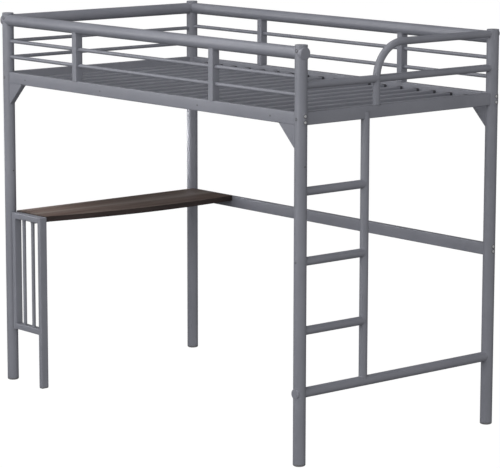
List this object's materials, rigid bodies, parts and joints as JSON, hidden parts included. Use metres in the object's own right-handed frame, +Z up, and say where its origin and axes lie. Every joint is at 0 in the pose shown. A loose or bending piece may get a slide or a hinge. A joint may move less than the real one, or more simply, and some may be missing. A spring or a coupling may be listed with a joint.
{
  "type": "loft bed with desk",
  "caption": "Raised metal bed frame with slatted deck, guard rails, side ladder and grab arch, and a narrow bowed desk board under one end.",
  "frame": {"origin": "on the floor, under the middle of the bed", "axes": "+X along the bed towards the ladder end, +Y towards the back, +Z up"},
  "size_m": [1.9808, 1.0888, 1.6417],
  "materials": {
    "coated_steel": "satin grey powder coat",
    "desk_board": "dark brown faced board, satin",
    "glide_plastic": "dark grey moulded plastic"
  },
  "bodies": {
    "root": {"desk_back_rail": "coated_steel", "desk_board": "desk_board", "desk_cross_bar": "coated_steel", "desk_end_frame": "coated_steel", "end_rail_left": "coated_steel", "end_rail_right": "coated_steel", "entry_bar": "coated_steel", "entry_leg": "coated_steel", "foot_back_left": "glide_plastic", "foot_back_right": "glide_plastic", "foot_desk_leg": "glide_plastic", "foot_front_left": "glide_plastic", "foot_front_right": "glide_plastic", "grab_arch": "coated_steel", "guard_rod_back_lower": "coated_steel", "guard_rod_back_upper": "coated_steel", "guard_rod_front_lower": "coated_steel", "guard_rod_front_upper": "coated_steel", "guard_rod_left_lower": "coated_steel", "guard_rod_left_upper": "coated_steel", "guard_upright_back_left": "coated_steel", "guard_upright_back_right": "coated_steel", "guard_upright_front_left": "coated_steel", "guard_upright_front_right": "coated_steel", "gusset_back_left": "coated_steel", "gusset_back_right": "coated_steel", "gusset_front_left": "coated_steel", "gusset_front_right": "coated_steel", "ladder_rung_1": "coated_steel", "ladder_rung_2": "coated_steel", "ladder_rung_3": "coated_steel", "ladder_stile": "coated_steel", "lower_end_rail": "coated_steel", "post_back_left": "coated_steel", "post_back_right": "coated_steel", "post_front_left": "coated_steel", "post_front_right": "coated_steel", "side_rail_back": "coated_steel", "side_rail_front": "coated_steel", "slat_01": "coated_steel", "slat_02": "coated_steel", "slat_03": "coated_steel", "slat_04": "coated_steel", "slat_05": "coated_steel", "slat_06": "coated_steel", "slat_07": "coated_steel", "slat_08": "coated_steel", "slat_09": "coated_steel", "slat_10": "coated_steel", "slat_11": "coated_steel", "slat_12": "coated_steel", "slat_13": "coated_steel", "slat_14": "coated_steel", "slat_15": "coated_steel", "slat_16": "coated_steel", "slat_17": "coated_steel", "slat_18": "coated_steel", "top_rail_back": "coated_steel", "top_rail_front": "coated_steel", "top_rail_left": "coated_steel"}
  },
  "joints": []
}
